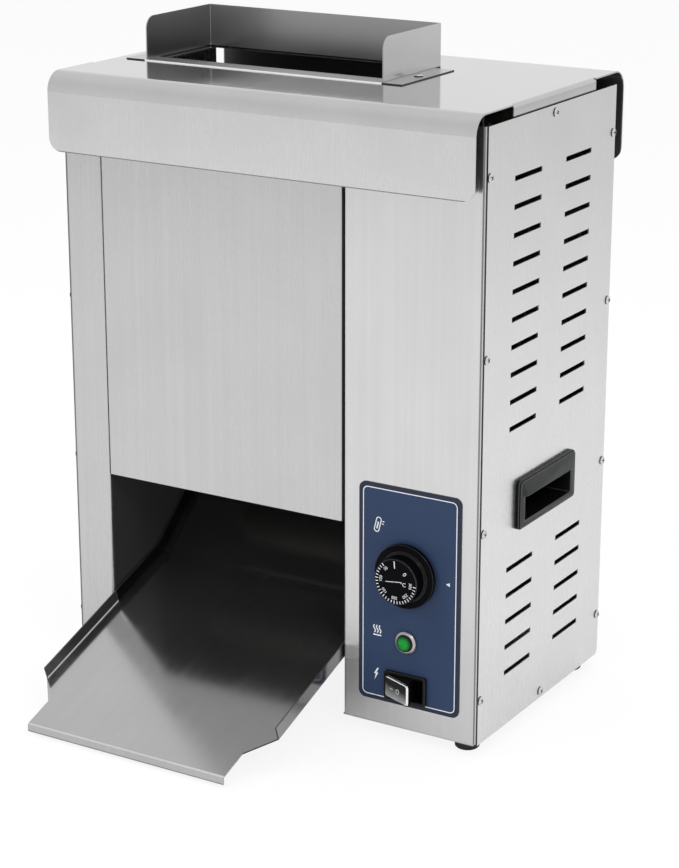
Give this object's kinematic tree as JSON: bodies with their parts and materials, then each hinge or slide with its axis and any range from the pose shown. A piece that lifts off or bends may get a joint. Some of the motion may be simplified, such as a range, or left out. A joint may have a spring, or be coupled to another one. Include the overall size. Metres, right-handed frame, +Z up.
{
  "type": "bun toaster",
  "caption": "Countertop vertical contact bun toaster: open guide on top, belts beside an upright heated platen, sloping outlet tray and a control column.",
  "frame": {"origin": "middle of the footprint's bounding box, on the table that the feet stand on", "axes": "+Z up, -Y towards the front where the tray comes out, +X to the user's right"},
  "size_m": [0.44, 0.418, 0.6025],
  "materials": {
    "body_steel": "fine vertical brushed grain",
    "cover_steel": "brushed, close to a mirror on top",
    "tray_steel": "brushed, darker in the outlet",
    "frame_steel": "plain sheet",
    "screw_steel": "bright pan heads",
    "foot_rubber": "matt",
    "handle_plastic": "fine grain",
    "plate_blue": "satin print",
    "knob_plastic": "gloss",
    "switch_plastic": "gloss",
    "lens_green": "clear green",
    "lamp_chrome": "polished",
    "platen_metal": "cast, machined faces",
    "heater_steel": "sheath",
    "belt_silicone": "smooth",
    "roller_steel": "turned",
    "bush_brass": "turned",
    "gear_steel": "cut teeth",
    "motor_paint": "satin",
    "terminal_plastic": "plain",
    "tube_copper": "drawn"
  },
  "bodies": {
    "cabinet": {"base_pan": "frame_steel", "feet": "foot_rubber", "left_housing": "body_steel", "right_housing": "body_steel", "left_side_panel": "body_steel", "right_side_panel": "body_steel", "side_panel_screws": "screw_steel", "back_panel": "body_steel", "back_panel_screws": "screw_steel", "front_panel": "body_steel", "front_cross_bar": "frame_steel", "rear_cross_bar": "frame_steel", "top_cover": "cover_steel", "bun_guide": "cover_steel", "bun_guide_screws": "screw_steel", "tray_ledges": "frame_steel", "platen": "platen_metal", "heaters": "heater_steel", "platen_spacers": "frame_steel", "bun_divider": "frame_steel", "front_belt": "belt_silicone", "rear_belt": "belt_silicone", "shaft_bushes": "bush_brass", "gear_studs": "gear_steel", "motor_bracket": "frame_steel", "gear_motor": "motor_paint", "control_plate": "plate_blue", "thermostat_body": "terminal_plastic", "sensing_tube": "tube_copper", "lamp_bezel": "lamp_chrome", "lamp_lens": "lens_green", "lamp_body": "terminal_plastic", "switch_housing": "switch_plastic", "left_handle": "handle_plastic", "right_handle": "handle_plastic", "cable_gland": "handle_plastic", "terminal_block": "terminal_plastic"},
    "tray": {"discharge_tray": "tray_steel"},
    "knob": {"thermostat_knob": "knob_plastic", "thermostat_spindle": "roller_steel"},
    "rocker": {"power_rocker": "switch_plastic"},
    "front_drive": {"front_drive_roller": "roller_steel", "front_drive_gear": "gear_steel"},
    "rear_drive": {"rear_drive_roller": "roller_steel", "rear_drive_gear": "gear_steel"},
    "front_idler": {"front_idler_roller": "roller_steel"},
    "rear_idler": {"rear_idler_roller": "roller_steel"},
    "front_gear": {"front_idler_gear": "gear_steel"},
    "rear_gear": {"rear_idler_gear": "gear_steel"}
  },
  "joints": [
    {"name": "tray_slide", "type": "slide", "parent": "cabinet", "child": "tray", "axis": [0, -1, 0], "range_m": [0, 0.12]},
    {"name": "knob_turn", "type": "hinge", "parent": "cabinet", "child": "knob", "pos_m": [0.1433, -0.049, 0.1576], "axis": [0, 1, 0], "range_deg": [-310, 0]},
    {"name": "rocker_tip", "type": "hinge", "parent": "cabinet", "child": "rocker", "pos_m": [0.1433, -0.05, 0.0522], "axis": [0, 0, 1], "range_deg": [0, 44]},
    {"name": "front_drive_spin", "type": "hinge", "parent": "cabinet", "child": "front_drive", "pos_m": [0, 0.0341, 0.237], "axis": [1, 0, 0], "continuous": true},
    {"name": "rear_drive_spin", "type": "hinge", "parent": "cabinet", "child": "rear_drive", "pos_m": [0, 0.1459, 0.237], "axis": [1, 0, 0], "continuous": true},
    {"name": "front_idler_spin", "type": "hinge", "parent": "cabinet", "child": "front_idler", "pos_m": [0, 0.0341, 0.505], "axis": [1, 0, 0], "continuous": true},
    {"name": "rear_idler_spin", "type": "hinge", "parent": "cabinet", "child": "rear_idler", "pos_m": [0, 0.1459, 0.505], "axis": [1, 0, 0], "continuous": true},
    {"name": "front_gear_spin", "type": "hinge", "parent": "cabinet", "child": "front_gear", "pos_m": [0, 0.07137, 0.237], "axis": [1, 0, 0], "continuous": true},
    {"name": "rear_gear_spin", "type": "hinge", "parent": "cabinet", "child": "rear_gear", "pos_m": [0, 0.10863, 0.237], "axis": [1, 0, 0], "continuous": true}
  ],
  "couplings": [
    {"joint": "rear_drive_spin", "follows": "front_drive_spin", "ratio": -1},
    {"joint": "front_idler_spin", "follows": "front_drive_spin", "ratio": 1},
    {"joint": "rear_idler_spin", "follows": "front_drive_spin", "ratio": -1},
    {"joint": "front_gear_spin", "follows": "front_drive_spin", "ratio": -1},
    {"joint": "rear_gear_spin", "follows": "front_drive_spin", "ratio": 1}
  ]
}
